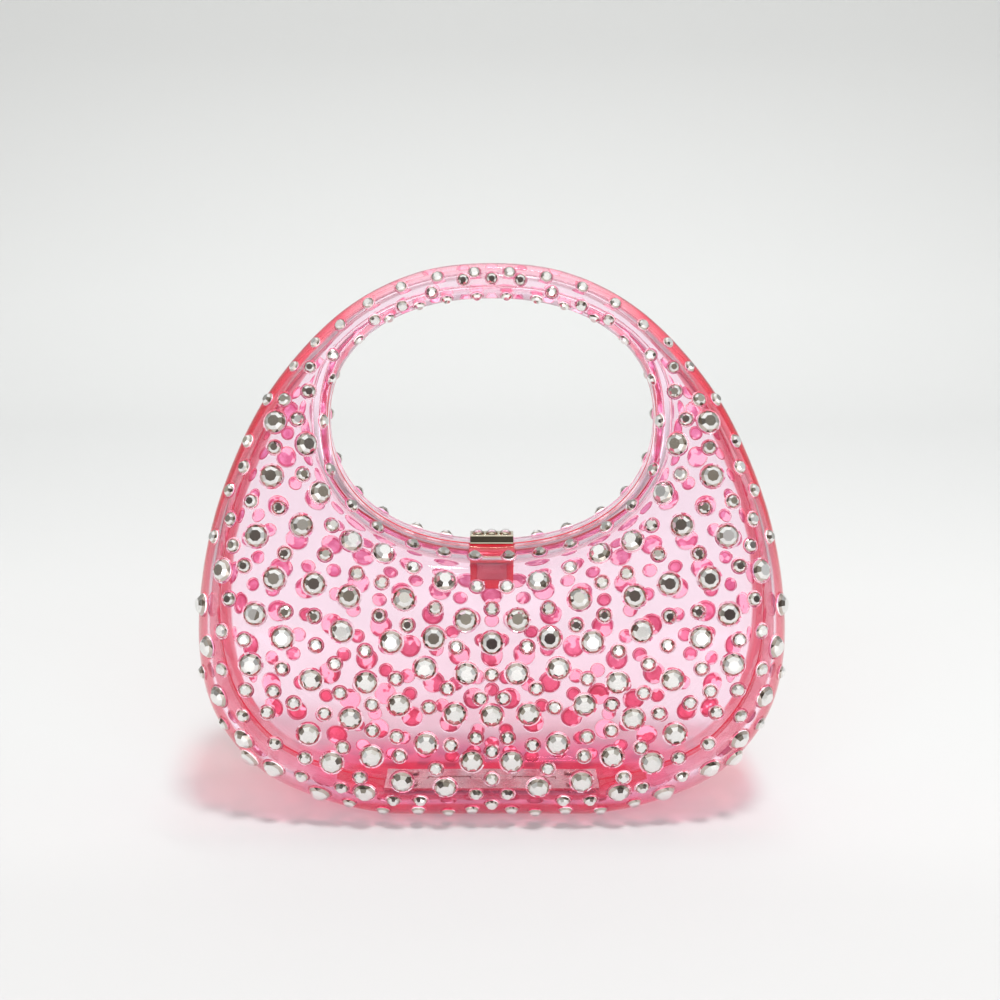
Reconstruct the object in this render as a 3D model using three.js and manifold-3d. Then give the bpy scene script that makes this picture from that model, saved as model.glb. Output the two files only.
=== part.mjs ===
// Rhinestone top-handle bag: two hollow half shells of clear pink acrylic that part in the middle, hinged along
// the base and closed by a clasp on the lower rim of the hand hole. Cut stones are fused to both halves.
// Millimetres. X runs across the bag, its front faces -Y, and Z is up from the surface that it stands on.
import * as THREE from "three";
import { mergeVertices } from "three/addons/utils/BufferGeometryUtils.js";
import Module from "manifold-3d";

const wasm = await Module();
wasm.setup();

// Right half of the outline seen from the front, from the top of the handle to the middle of the base.
const OUTLINE = [
  { out: 0, up: 180 },
  { out: 24, up: 177 },
  { out: 47, up: 165.5 },
  { out: 70, up: 141.5 },
  { out: 84, up: 115 },
  { out: 93, up: 84 },
  { out: 95, up: 54 },
  { out: 90, up: 33.5 },
  { out: 76, up: 15.5 },
  { out: 54, up: 4.6 },
  { out: 32, up: 0 },
  { out: 0, up: 0 },
];
const HEIGHT = OUTLINE[0].up;
const OUTLINE_DIVISIONS = 1200;
const OUTLINE_SAMPLES = 400;

// Hand hole: an oval a little squarer than an ellipse.
const HOLE_UP = 128.7;
const HOLE_HALF_WIDTH = 52.7;
const HOLE_HALF_HEIGHT = 40.2;
const HOLE_SQUARENESS = 2.2;
const RIM_UP = HOLE_UP - HOLE_HALF_HEIGHT;

// Depth of one half, from the parting plane to its face.
const BELLY_UP = 52;
const BELLY_DEPTH = 32.8;
const BASE_DEPTH = 31;
const HANDLE_DEPTH = 6.3;

// Rounding from the face to the rim of the hole and to the outer edge, with the flat left at the parting plane.
const RIM_ROUND = 26;
const EDGE_ROUND = 20.5;
const RIM_FLAT = 7;
const EDGE_FLAT = 10;
const HANDLE_FLAT = 1;
const HANDLE_REACH = 11.3;
const BODY_REACH = 40;
const ROUND_SHARE = 0.45;

// Share of a section's steps that goes to each rounding.
const ROUND_STEPS = 0.4;

// Wall, which thins with the narrow handle, and the gap between pieces that don't touch.
const WALL = 4.4;
const WALL_SHARE = 0.34;
const GAP = 0.3;

// Facets: stations round the bag, steps across the outside and the inside of the wall, sides of round metal.
const STATIONS = 38;
const OUTER_STEPS = 10;
const INNER_STEPS = 5;
const ROUND_SIDES = 10;

// Small steps: for the slope along a section and round the bag, and for points that count as one.
const SLOPE_STEP = 1e-3;
const TURN_STEP = 0.01;
const BELOW_STEP = 0.2;
const SAME_POINT = 1e-4;

// Large stones: cut with a table and eight facets, sunk a little into the wall that sets them.
const STONE_ACROSS = 7.1;
const TABLE_ACROSS = 3.9;
const STONE_HEIGHT = 2.2;
const STONE_SINK = 1.1;
const STONE_FACETS = 8;

// Courses of large stones round the hole: how far below the rim, and at which angles from the top of the handle.
// Each stone repeats on the other side of the centre line, where 180 degrees lies.
const STONE_COURSES = [
  { below: 8, angles: [128, 162.5] },
  { below: 15.5, angles: [116, 152] },
  { below: 18, angles: [172] },
  { below: 21.5, angles: [138.5] },
  { below: 24.5, angles: [130, 164, 180] },
  { below: 29, angles: [113.5, 154] },
  { below: 32, angles: [123.5, 142.5] },
  { below: 34.5, angles: [164, 174] },
  { below: 44, angles: [127, 134, 153] },
  { below: 48, angles: [161, 172.5, 180] },
  { below: 50.5, angles: [143.5] },
  { below: 57, angles: [133.5, 153.5] },
  { below: 59, angles: [168] },
  { below: 63.5, angles: [176.5] },
  { below: 67, angles: [148.5, 159.5] },
  { below: 73, angles: [154, 165.5, 172.5] },
];

// Hinge: a row of knuckles on an axis in the bottom wall, with a leaf on the floor of each half.
const HINGE_LENGTH = 72;
const KNUCKLES = 5;
const KNUCKLE_RADIUS = 1.8;
const PIN_RADIUS = 0.8;
const LEAF_THICK = 1;
const LEAF_UP = WALL + 1;
const LEAF_NEAR = 2.4;
const LEAF_FAR = 10.4;
const HINGE_AXIS_UP = LEAF_UP - 0.5 * KNUCKLE_RADIUS;
const NOTCH_HALF_WIDTH = 2.6;
const GROOVE_SIDE = 8;

// Rivets through each leaf into the floor.
const RIVET_SPACING = 26.6;
const RIVET_OUT = 6.5;
const RIVET_RADIUS = 0.9;
const RIVET_HEAD_RADIUS = 1.9;
const RIVET_HEAD_THICK = 0.9;
const RIVET_FOOT_UP = 0.4;

// Clasp: a bar over the parting line, a neck through the front rim and a plate behind the front face.
const CLASP_WIDTH = 14.2;
const BAR_FRONT = -2.4;
const BAR_BACK = 5.2;
const BAR_THICK = 3;
const NECK_BACK = -0.7;
const PLATE_BACK = -1.3;
const PLATE_BOTTOM_UP = 76;
const TONGUE_WIDTH = 5;
const TONGUE_BOTTOM_UP = 73.5;
const LIP_FRONT = -5.5;
const LIP_THICK = 1;
const CLASP_STONE_ACROSS = 3.8;
const CLASP_STONE_SPACING = 4.5;

// Keeper inside the back half.
const KEEPER_WIDTH = 8;
const KEEPER_NEAR = 0.6;
const KEEPER_FAR = 5.2;
const KEEPER_BOTTOM_UP = 77.5;

const acrylic = new THREE.MeshStandardMaterial({ color: 0xf3a3c8, roughness: 0.06, metalness: 0 });
const metal = new THREE.MeshStandardMaterial({ color: 0xb8a27c, roughness: 0.25, metalness: 1 });

const clamp01 = (value) => THREE.MathUtils.clamp(value, 0, 1);

// The whole outline as a closed curve, starting at the top.
function outlineCurve() {
  const right = OUTLINE.map(({ out, up }) => new THREE.Vector3(out, 0, up));
  const left = OUTLINE.slice(1, -1)
    .reverse()
    .map(({ out, up }) => new THREE.Vector3(-out, 0, up));
  const curve = new THREE.CatmullRomCurve3([...right, ...left], true, "centripetal");
  curve.arcLengthDivisions = OUTLINE_DIVISIONS;
  return curve;
}
const outline = outlineCurve();

// Angle round the hole, from the top, of each of many points of the right half, with its distance from the centre.
const outlineTable = Array.from({ length: OUTLINE_SAMPLES + 1 }, (_, i) => {
  const point = outline.getPointAt((0.5 * i) / OUTLINE_SAMPLES);
  const up = Math.max(point.z, 0) - HOLE_UP;
  return { angle: Math.atan2(Math.max(point.x, 0), up), radius: Math.hypot(point.x, up) };
});

function outerRadius(angle) {
  const turned = Math.abs(Math.atan2(Math.sin(angle), Math.cos(angle)));
  const next = outlineTable.findIndex((entry) => entry.angle >= turned);
  if (next <= 0) return outlineTable.at(next).radius;
  const [a, b] = [outlineTable[next - 1], outlineTable[next]];
  return THREE.MathUtils.lerp(a.radius, b.radius, (turned - a.angle) / (b.angle - a.angle));
}

function holeRadius(angle) {
  const across = Math.abs(Math.sin(angle) / HOLE_HALF_WIDTH) ** HOLE_SQUARENESS;
  const along = Math.abs(Math.cos(angle) / HOLE_HALF_HEIGHT) ** HOLE_SQUARENESS;
  return (across + along) ** (-1 / HOLE_SQUARENESS);
}

// Side view of one half: full at the belly, a slow taper up to the handle and a slight one down to the base.
function halfDepth(up) {
  if (up > BELLY_UP) {
    const rise = (up - BELLY_UP) / (HEIGHT - BELLY_UP);
    return HANDLE_DEPTH + (BELLY_DEPTH - HANDLE_DEPTH) * 0.5 * (1 + Math.cos(Math.PI * rise));
  }
  return BELLY_DEPTH - (BELLY_DEPTH - BASE_DEPTH) * (1 - up / BELLY_UP) ** 2;
}

// A quarter of an ellipse that rises from a flat to the full depth.
const rounded = (flat, share) => flat + (1 - flat) * Math.sqrt(1 - (1 - clamp01(share)) ** 2);

// Widths of the two roundings where the band between the hole and the outer edge is so wide.
function roundings(reach) {
  return { rim: Math.min(RIM_ROUND, ROUND_SHARE * reach), edge: Math.min(EDGE_ROUND, ROUND_SHARE * reach) };
}

// Depth of the outside, at a distance below the rim of the hole and an angle round it.
function outsideDepth(angle, below) {
  const inner = holeRadius(angle);
  const reach = outerRadius(angle) - inner;
  const { rim, edge } = roundings(reach);
  const full = halfDepth(HOLE_UP + (inner + below) * Math.cos(angle));
  const widening = clamp01((reach - HANDLE_REACH) / (BODY_REACH - HANDLE_REACH));
  const rimFlat = THREE.MathUtils.lerp(HANDLE_FLAT, RIM_FLAT, widening) / full;
  const edgeFlat = THREE.MathUtils.lerp(HANDLE_FLAT, EDGE_FLAT, widening) / full;
  return full * rounded(rimFlat, below / rim) * rounded(edgeFlat, (reach - below) / edge);
}

// A point of the front half from its place round the hole, below the rim and in front of the parting plane.
function placeInFront(angle, below, depth) {
  const radius = holeRadius(angle) + below;
  return new THREE.Vector3(radius * Math.sin(angle), -depth, HOLE_UP + radius * Math.cos(angle));
}

const outsidePoint = (angle, below) => placeInFront(angle, below, outsideDepth(angle, below));

function outsideNormal(angle, below) {
  const round = outsidePoint(angle + TURN_STEP, below).sub(outsidePoint(angle - TURN_STEP, below));
  const across = outsidePoint(angle, below + BELOW_STEP).sub(outsidePoint(angle, below - BELOW_STEP));
  return round.cross(across).normalize();
}

// Steps along a section, close together on the two roundings and wide between them.
function belowRim(reach, t) {
  const { rim, edge } = roundings(reach);
  const roundStep = (share) => 1 - Math.cos((Math.PI / 2) * share);
  if (t <= ROUND_STEPS) return rim * roundStep(t / ROUND_STEPS);
  if (t >= 1 - ROUND_STEPS) return reach - edge * roundStep((1 - t) / ROUND_STEPS);
  return THREE.MathUtils.mapLinear(t, ROUND_STEPS, 1 - ROUND_STEPS, rim, reach - edge);
}

// Section of the wall at one angle: the outside from the rim to the outer edge, then the inside back again.
function wallSection(angle, reach) {
  const wall = Math.min(WALL, WALL_SHARE * reach);
  const outside = (t) => {
    const below = belowRim(reach, t);
    return new THREE.Vector2(below, outsideDepth(angle, below));
  };
  const inside = (t) => {
    const slope = outside(Math.min(t + SLOPE_STEP, 1)).sub(outside(Math.max(t - SLOPE_STEP, 0))).normalize();
    return outside(t).add(new THREE.Vector2(slope.y, -slope.x).multiplyScalar(wall));
  };
  const steps = (count, place) => Array.from({ length: count + 1 }, (_, i) => place(i / count));
  return [
    new THREE.Vector2(0, GAP / 2),
    ...steps(OUTER_STEPS, outside),
    new THREE.Vector2(reach, GAP / 2),
    new THREE.Vector2(reach - wall, GAP / 2),
    ...steps(INNER_STEPS, inside).reverse(),
    new THREE.Vector2(wall, GAP / 2),
  ];
}

// The bare half shell as a ring of wall sections.
function shellGeometry() {
  const rings = Array.from({ length: STATIONS }, (_, i) => {
    const edge = outline.getPointAt(i / STATIONS);
    const up = Math.max(edge.z, 0) - HOLE_UP;
    const angle = Math.atan2(edge.x, up);
    const reach = Math.hypot(edge.x, up) - holeRadius(angle);
    return wallSection(angle, reach).map((place) => placeInFront(angle, place.x, place.y));
  });
  const around = rings[0].length;
  const index = [];
  for (let i = 0; i < STATIONS; i++) {
    for (let j = 0; j < around; j++) {
      const here = i * around;
      const next = ((i + 1) % STATIONS) * around;
      const k = (j + 1) % around;
      index.push(here + j, next + j, next + k, here + j, next + k, here + k);
    }
  }
  return new THREE.BufferGeometry().setFromPoints(rings.flat()).setIndex(index);
}

// Solids for joins and cuts.
function solidFrom(geometry) {
  const bare = geometry.clone();
  bare.deleteAttribute("normal");
  bare.deleteAttribute("uv");
  const merged = mergeVertices(bare, SAME_POINT);
  return new wasm.Manifold(
    new wasm.Mesh({
      numProp: 3,
      vertProperties: new Float32Array(merged.attributes.position.array),
      triVerts: new Uint32Array(merged.index.array),
    }),
  );
}

function geometryFrom(solid) {
  const mesh = solid.getMesh();
  const geometry = new THREE.BufferGeometry();
  geometry.setAttribute("position", new THREE.BufferAttribute(mesh.vertProperties, 3));
  geometry.setIndex(new THREE.BufferAttribute(mesh.triVerts, 1));
  geometry.computeVertexNormals();
  return geometry;
}

// A box given by its two limits on each axis.
function box(x, y, z) {
  const geometry = new THREE.BoxGeometry(x[1] - x[0], y[1] - y[0], z[1] - z[0]);
  return geometry.translate((x[0] + x[1]) / 2, (y[0] + y[1]) / 2, (z[0] + z[1]) / 2);
}

const centred = (width) => [-width / 2, width / 2];

// A round bar along X on the hinge axis.
function barOnAxis(radius, from, to, sides) {
  const geometry = new THREE.CylinderGeometry(radius, radius, to - from, sides);
  return geometry.rotateZ(Math.PI / 2).translate((from + to) / 2, 0, HINGE_AXIS_UP);
}

// A cut stone that stands on a point along a normal: eight crown facets up to a flat table.
function cutStone(across, tableAcross, height, sink, point, normal) {
  const rise = height + sink;
  const geometry = new THREE.CylinderGeometry(tableAcross / 2, across / 2, rise, STONE_FACETS);
  geometry.translate(0, rise / 2 - sink, 0);
  geometry.applyQuaternion(new THREE.Quaternion().setFromUnitVectors(new THREE.Vector3(0, 1, 0), normal));
  return geometry.translate(point.x, point.y, point.z);
}

const joined = (first, ...others) => others.reduce((solid, other) => solid.add(other), first);
const cut = (first, ...others) => others.reduce((solid, other) => solid.subtract(other), first);

const rivetPlaces = [
  { side: "left", x: -RIVET_SPACING },
  { side: "middle", x: 0 },
  { side: "right", x: RIVET_SPACING },
];

// Clear round holes for the rivets of the front half.
function rivetHoles() {
  return rivetPlaces.map(({ x }) => {
    const hole = new THREE.CylinderGeometry(RIVET_RADIUS + GAP, RIVET_RADIUS + GAP, 4 * WALL, ROUND_SIDES);
    return solidFrom(hole.rotateX(Math.PI / 2).translate(x, -RIVET_OUT, LEAF_UP));
  });
}

// One half shell with its large stones, its bottom edge cut back so that the hinge can swing.
function halfShell() {
  const stones = STONE_COURSES.flatMap(({ below, angles }) =>
    angles.flatMap((degrees) => {
      const mirrored = degrees === 180 ? [180] : [degrees, -degrees];
      return mirrored.map((side) => {
        const angle = THREE.MathUtils.degToRad(side);
        const point = outsidePoint(angle, below);
        const normal = outsideNormal(angle, below);
        return solidFrom(cutStone(STONE_ACROSS, TABLE_ACROSS, STONE_HEIGHT, STONE_SINK, point, normal));
      });
    }),
  );
  const groove = new THREE.BoxGeometry(2 * BODY_REACH + HINGE_LENGTH, GROOVE_SIDE, GROOVE_SIDE)
    .rotateX(Math.PI / 4)
    .translate(0, 0, HINGE_AXIS_UP - GROOVE_SIDE / Math.SQRT2);
  const notch = box(
    centred(HINGE_LENGTH + 4 * GAP),
    [-NOTCH_HALF_WIDTH, NOTCH_HALF_WIDTH],
    [-WALL, HINGE_AXIS_UP + KNUCKLE_RADIUS + 2 * GAP],
  );
  const whole = joined(solidFrom(shellGeometry()), ...stones);
  return cut(whole, solidFrom(groove), solidFrom(notch), ...rivetHoles());
}

// The front half also has a slot in its rim for the clasp's neck.
function claspSlot() {
  return solidFrom(
    box(
      centred(CLASP_WIDTH + 2 * GAP),
      [BAR_FRONT - GAP, GAP],
      [RIM_UP - WALL - LIP_THICK, RIM_UP + WALL],
    ),
  );
}

// A hinge leaf of the front half with the knuckles of the given turn, 0 for the outer ones and 1 for those between.
function hingeLeaf(turn) {
  const leaf = box(centred(HINGE_LENGTH), [-LEAF_FAR, -LEAF_NEAR], [LEAF_UP, LEAF_UP + LEAF_THICK]);
  const pitch = HINGE_LENGTH / KNUCKLES;
  const knuckles = [];
  for (let i = turn; i < KNUCKLES; i += 2) {
    const from = -HINGE_LENGTH / 2 + i * pitch + GAP / 2;
    const to = from + pitch - GAP;
    knuckles.push(solidFrom(barOnAxis(KNUCKLE_RADIUS, from, to, ROUND_SIDES)));
    knuckles.push(solidFrom(box([from, to], [-LEAF_NEAR - GAP, 0], [LEAF_UP, LEAF_UP + LEAF_THICK])));
  }
  const bore = solidFrom(barOnAxis(PIN_RADIUS + GAP, -HINGE_LENGTH, HINGE_LENGTH, ROUND_SIDES));
  return cut(joined(solidFrom(leaf), ...knuckles), bore, ...rivetHoles());
}

// A rivet turned about Z: its head over the leaf and its shank down into the floor.
function rivetGeometry() {
  const under = LEAF_UP + LEAF_THICK + GAP;
  const top = under + RIVET_HEAD_THICK;
  const profile = [
    new THREE.Vector2(0, RIVET_FOOT_UP),
    new THREE.Vector2(RIVET_RADIUS, RIVET_FOOT_UP),
    new THREE.Vector2(RIVET_RADIUS, under),
    new THREE.Vector2(RIVET_HEAD_RADIUS, under),
    new THREE.Vector2(RIVET_HEAD_RADIUS, (under + top) / 2),
    new THREE.Vector2(RIVET_RADIUS, top),
    new THREE.Vector2(0, top),
  ];
  return new THREE.LatheGeometry(profile, ROUND_SIDES).rotateX(Math.PI / 2);
}

// Bar, neck, lip and plate are soldered into one piece of metal, with three stones set on the bar.
function clasp() {
  const barUp = RIM_UP + GAP;
  const lipUp = RIM_UP - WALL - GAP;
  const width = centred(CLASP_WIDTH);
  const bar = box(width, [BAR_FRONT, BAR_BACK], [barUp, barUp + BAR_THICK]);
  const neck = box(width, [BAR_FRONT, NECK_BACK], [lipUp - LIP_THICK, barUp + GAP]);
  const lip = box(width, [LIP_FRONT, NECK_BACK], [lipUp - LIP_THICK, lipUp]);
  const plate = box(width, [BAR_FRONT, PLATE_BACK], [PLATE_BOTTOM_UP, lipUp]);
  const tongue = box(centred(TONGUE_WIDTH), [BAR_FRONT, PLATE_BACK], [TONGUE_BOTTOM_UP, PLATE_BOTTOM_UP + GAP]);
  const up = new THREE.Vector3(0, 0, 1);
  const stones = [-1, 0, 1].map((place) => {
    const seat = new THREE.Vector3(place * CLASP_STONE_SPACING, (BAR_FRONT + BAR_BACK) / 2, barUp + BAR_THICK);
    return cutStone(CLASP_STONE_ACROSS, CLASP_STONE_ACROSS / 2, CLASP_STONE_ACROSS / 3, GAP, seat, up);
  });
  return joined(...[bar, neck, lip, plate, tongue, ...stones].map(solidFrom));
}

function keeperGeometry() {
  return box(centred(KEEPER_WIDTH), [KEEPER_NEAR, KEEPER_FAR], [KEEPER_BOTTOM_UP, RIM_UP - WALL - GAP]);
}

function named(name, geometry, material) {
  const mesh = new THREE.Mesh(geometry, material);
  mesh.name = name;
  return mesh;
}

function rivets(half) {
  return rivetPlaces.map(({ side, x }) => {
    const rivet = named("rivet_" + half + "_" + side, rivetGeometry(), metal);
    rivet.position.set(x, -RIVET_OUT, 0);
    return rivet;
  });
}

const plainHalf = halfShell();

const front = new THREE.Group();
front.add(
  named("front_shell", geometryFrom(plainHalf.subtract(claspSlot())), acrylic),
  named("hinge_leaf_front", geometryFrom(hingeLeaf(1)), metal),
  named("clasp", geometryFrom(clasp()), metal),
  ...rivets("front"),
);

// The back half is the front half turned round, so its left is on the other side.
const back = new THREE.Group();
back.rotation.z = Math.PI;
back.add(
  named("back_shell", geometryFrom(plainHalf), acrylic),
  named("hinge_leaf_back", geometryFrom(hingeLeaf(0)), metal),
  ...rivets("back"),
);

const bag = new THREE.Group();
bag.add(
  front,
  back,
  named("hinge_pin", barOnAxis(PIN_RADIUS, -HINGE_LENGTH / 2, HINGE_LENGTH / 2, ROUND_SIDES), metal),
  named("clasp_keeper", keeperGeometry(), metal),
);

export default bag;
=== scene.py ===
"""Looks of the rhinestone top-handle bag.

Clear pink acrylic halves with cut stones, a rim clasp and a base hinge. Lengths in the tables are in
millimetres. X runs across the bag, its front faces -Y, and Z is up from the floor.
"""

import math

import bpy
import bmesh
import numpy as np
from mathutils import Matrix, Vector


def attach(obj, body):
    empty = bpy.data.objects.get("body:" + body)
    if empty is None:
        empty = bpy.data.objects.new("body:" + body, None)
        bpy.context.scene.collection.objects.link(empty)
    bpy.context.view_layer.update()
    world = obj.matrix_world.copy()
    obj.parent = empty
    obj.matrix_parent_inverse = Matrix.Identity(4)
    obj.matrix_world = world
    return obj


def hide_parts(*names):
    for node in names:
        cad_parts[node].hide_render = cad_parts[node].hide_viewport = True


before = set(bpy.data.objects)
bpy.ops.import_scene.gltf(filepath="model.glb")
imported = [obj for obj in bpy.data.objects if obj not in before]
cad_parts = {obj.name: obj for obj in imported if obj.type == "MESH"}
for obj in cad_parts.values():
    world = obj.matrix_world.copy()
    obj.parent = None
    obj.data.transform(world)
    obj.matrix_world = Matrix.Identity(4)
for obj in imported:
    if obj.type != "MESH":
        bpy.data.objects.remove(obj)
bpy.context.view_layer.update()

MM = 0.001

# Right half of the outline, from the top of the handle to the middle of the base: columns out, up.
OUTLINE = np.array([
    (0, 180), (24, 177), (47, 165.5), (70, 141.5), (84, 115), (93, 84),
    (95, 54), (90, 33.5), (76, 15.5), (54, 4.6), (32, 0), (0, 0),
], float)
HEIGHT = OUTLINE[0, 1]
SPAN_SAMPLES = 60

# Hand hole: an oval a little squarer than an ellipse.
HOLE_UP = 128.7
HOLE_HALF_WIDTH = 52.7
HOLE_HALF_HEIGHT = 40.2
HOLE_SQUARENESS = 2.2
RIM_UP = HOLE_UP - HOLE_HALF_HEIGHT

# Depth of one half, from the parting plane to its face.
BELLY_UP = 52
BELLY_DEPTH = 32.8
BASE_DEPTH = 31
HANDLE_DEPTH = 6.3

# Rounding from the face to the rim of the hole and to the outer edge, and the flats at the parting plane.
RIM_ROUND = 26
EDGE_ROUND = 20.5
RIM_FLAT = 7
EDGE_FLAT = 10
HANDLE_FLAT = 1
HANDLE_REACH = 11.3
BODY_REACH = 40
ROUND_SHARE = 0.45
ROUND_STEPS = 0.4

WALL = 4.4
WALL_SHARE = 0.34
GAP = 0.3
EDGE_BEVEL = 0.55
# Depth from the middle of the gap within which the acrylic's bevels are painted red: a painted glow.
GLOW_DEPTH = GAP / 2 + EDGE_BEVEL

# Fineness of the shell: stations round the bag, steps across the face and across each flat, the step that
# slopes are taken over, and the turn in degrees up to which edges are shaded smooth.
STATIONS = 288
FACE_STEPS = 44
FLAT_STEPS = 4
SLOPE_STEP = 1e-3
SMOOTH_TO = 32

# Hinge under the floor of the bag, and its rivets.
HINGE_LENGTH = 72
KNUCKLE_RADIUS = 1.8
LEAF_UP = WALL + 1
HINGE_AXIS_UP = LEAF_UP - 0.5 * KNUCKLE_RADIUS
NOTCH_HALF_WIDTH = 2.6
GROOVE_SIDE = 8
RIVET_PLACES = (-26.6, 0, 26.6)
RIVET_OUT = 6.5
RIVET_HOLE_RADIUS = 1.2
RIVET_HOLE_SIDES = 24

# Clasp: a bar over the parting line, a neck through a slot in the front rim and a plate behind the wall.
CLASP_WIDTH = 14.2
SLOT_FRONT = -2.7
LIP_THICK = 1
SLOT_UP = RIM_UP - WALL - LIP_THICK
BAR_FRONT = -2.4
BAR_BACK = 5.2
BAR_UP = RIM_UP + GAP
BAR_THICK = 3
BAR_FOOT = 0.35
BAR_LEDGE = 0.25
BAR_SLOPE = 0.42
BAR_BROW = 0.4
NECK_BACK = -0.7
LIP_FRONT = -5.5
PLATE_BACK = -1.3
PLATE_UP = 76
PANEL_PROUD = 0.25
PANEL_SIDE = 2.2
PANEL_FOOT = 0.7
PANEL_HEAD = 1.4
TONGUE_WIDTH = 5
TONGUE_UP = 73.5
CLASP_STONE_PLACES = (-4.5, 0, 4.5)
CLASP_STONE = {"across": 3.8, "height": 1.25, "sink": 0.2}

# Edges of the clasp: bevels, their steps, and the turn in degrees over which an edge gets one.
BAR_BEVEL = 0.06
NECK_BEVEL = 0.15
PLATE_BEVEL = 0.2
PANEL_BEVEL = 0.12
BEVEL_STEPS = 2
BEVEL_OVER = 25

# Setting round a clasp stone: radii as shares of the stone's, its shoulder as a share of its height.
BEZEL_OUTER = 1.06
BEZEL_INNER = 0.92
BEZEL_HEIGHT = 0.55
BEZEL_SHOULDER = 0.6
BEZEL_SINK = 0.2
BEZEL_SIDES = 32

# Courses of stones round the hole: millimetres below the rim, then degrees from the top of the handle.
# Each stone repeats on the other side of the centre line, where 0 and 180 degrees lie.
LARGE_COURSES = {
    6: (94.5, 110, 138.5),
    8: (128, 162.5),
    15.5: (88, 116, 152),
    18: (101.5, 172),
    21.5: (138.5,),
    24.5: (130, 164, 180),
    29: (113.5, 154),
    32: (123.5, 142.5),
    34.5: (164, 174),
    44: (117, 127, 134, 153),
    48: (161, 172.5, 180),
    50.5: (143.5,),
    57: (121, 133.5, 153.5),
    59: (168,),
    63.5: (127, 176.5),
    67: (148.5, 159.5),
    73: (134, 154, 165.5, 172.5),
    80: (141, 160.5),
    84: (147,),
    86: (143.5, 154.5),
}
SMALL_COURSES = {
    1.2: (6.5, 19.5, 31, 43.5, 57, 73.5, 88, 104.5, 119, 131, 146, 159, 172.5),
    3: (36.5, 47.5),
    4.2: (24, 65.5),
    6.5: (0, 11, 78.5, 150),
    8.6: (6.5, 20, 33, 45, 56, 71.5, 87, 103, 120.5, 174.5),
    11: (64.5,),
    13.4: (73, 82, 143.5),
    14.5: (136, 180),
    15.8: (94.5, 126, 162),
    18.8: (83, 109.5),
    22.5: (148, 156),
    24.5: (93, 120),
    26.3: (98.5, 106, 170.5),
    32.5: (103, 135.5),
    34.6: (108.5, 149.5, 180),
    37: (113.5, 118, 130.5),
    40: (140, 158.5, 170),
    42.4: (111, 145.5, 177.5),
    47: (122, 167),
    50.4: (149.5, 156),
    52.2: (129.5, 138),
    55.6: (126, 177),
    58.6: (149, 158, 162.5, 172.5),
    60: (139.5, 143.5, 180),
    64.7: (131, 136, 164),
    67: (141, 154.5, 170.5),
    69.4: (180,),
    72.6: (130, 138.5),
    75: (145, 150, 159, 177.5),
    79.3: (169, 180),
    80.8: (137.5, 157, 165),
    82: (151, 177),
    84: (169, 173.5),
    86.5: (159, 164),
}

# Stone sizes: how wide, how high over the wall, how far into it and how wide the glue round it.
# The smallest are on the handle, up to so many degrees from its top.
LARGE_STONE = {"across": 7.1, "height": 2.2, "sink": 0.35, "bead": 0.6}
SMALL_STONE = {"across": 4.4, "height": 1.6, "sink": 0.4, "bead": 0.5}
HANDLE_STONE = {"across": 3.7, "height": 1.3, "sink": 0.4, "bead": 0.4}
HANDLE_END = 76

# Cut of a stone: facets round it, then shares of its radius, height, girdle or sink. The back and the bead of
# glue come up to a height in millimetres.
FACETS = 8
TABLE_SHARE = 0.52
BREAK_SHARE = 0.81
BREAK_UP = 0.62
GIRDLE_SHARE = 0.22
FOIL_SHARE = 0.88
FOIL_UP = 0.45
CULET_SHARE = 0.46
CULET_DOWN = 0.3
BACK_UP = 0.04
BACK_SHARE = 0.97
BACK_MIDDLE = 0.78
BEAD_UP = 0.18
BEAD_SHARE = 0.99

# Turn of each stone against the one before it, in radians, and the upward share of a normal that is upright.
STONE_TURN = 2.4
UPRIGHT = 0.9

# Which of the stone materials a face of a stone has, in their order.
ON_GLASS, ON_FOIL, ON_BACK, ON_BEAD, ON_RIM, ON_GIRDLE = range(6)


def clamp01(value):
    return np.clip(value, 0.0, 1.0)


def closed_curve(points, samples):
    """A centripetal Catmull-Rom curve through a closed ring of points."""
    def between(t, start, end, first, second):
        return (end - t) / (end - start) * first + (t - start) / (end - start) * second

    count = len(points)
    pieces = []
    for i in range(count):
        p = [points[(i + k) % count] for k in (-1, 0, 1, 2)]
        knots = [0.0]
        for a, b in zip(p, p[1:]):
            knots.append(knots[-1] + math.sqrt(np.linalg.norm(b - a)))
        t = np.linspace(knots[1], knots[2], samples, endpoint=False)[:, None]
        level = [between(t, knots[k], knots[k + 1], p[k], p[k + 1]) for k in range(3)]
        blend = [between(t, knots[k], knots[k + 2], level[k], level[k + 1]) for k in range(2)]
        pieces.append(between(t, knots[1], knots[2], *blend))
    return np.concatenate(pieces)


def outline_points():
    left = OUTLINE[-2:0:-1] * (-1, 1)
    curve = closed_curve(np.concatenate([OUTLINE, left]), SPAN_SAMPLES)
    return np.stack([curve[:, 0], np.maximum(curve[:, 1], 0)], 1)


OUTLINE_FINE = outline_points()
_half = OUTLINE_FINE[: len(OUTLINE_FINE) // 2 + 1] - (0, HOLE_UP)
OUTLINE_ANGLES = np.arctan2(np.maximum(_half[:, 0], 0), _half[:, 1])
OUTLINE_RADII = np.hypot(_half[:, 0], _half[:, 1])


def outer_radius(angle):
    turned = np.abs(np.arctan2(np.sin(angle), np.cos(angle)))
    return np.interp(turned, OUTLINE_ANGLES, OUTLINE_RADII)


def hole_radius(angle):
    across = np.abs(np.sin(angle) / HOLE_HALF_WIDTH) ** HOLE_SQUARENESS
    along = np.abs(np.cos(angle) / HOLE_HALF_HEIGHT) ** HOLE_SQUARENESS
    return (across + along) ** (-1 / HOLE_SQUARENESS)


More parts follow.
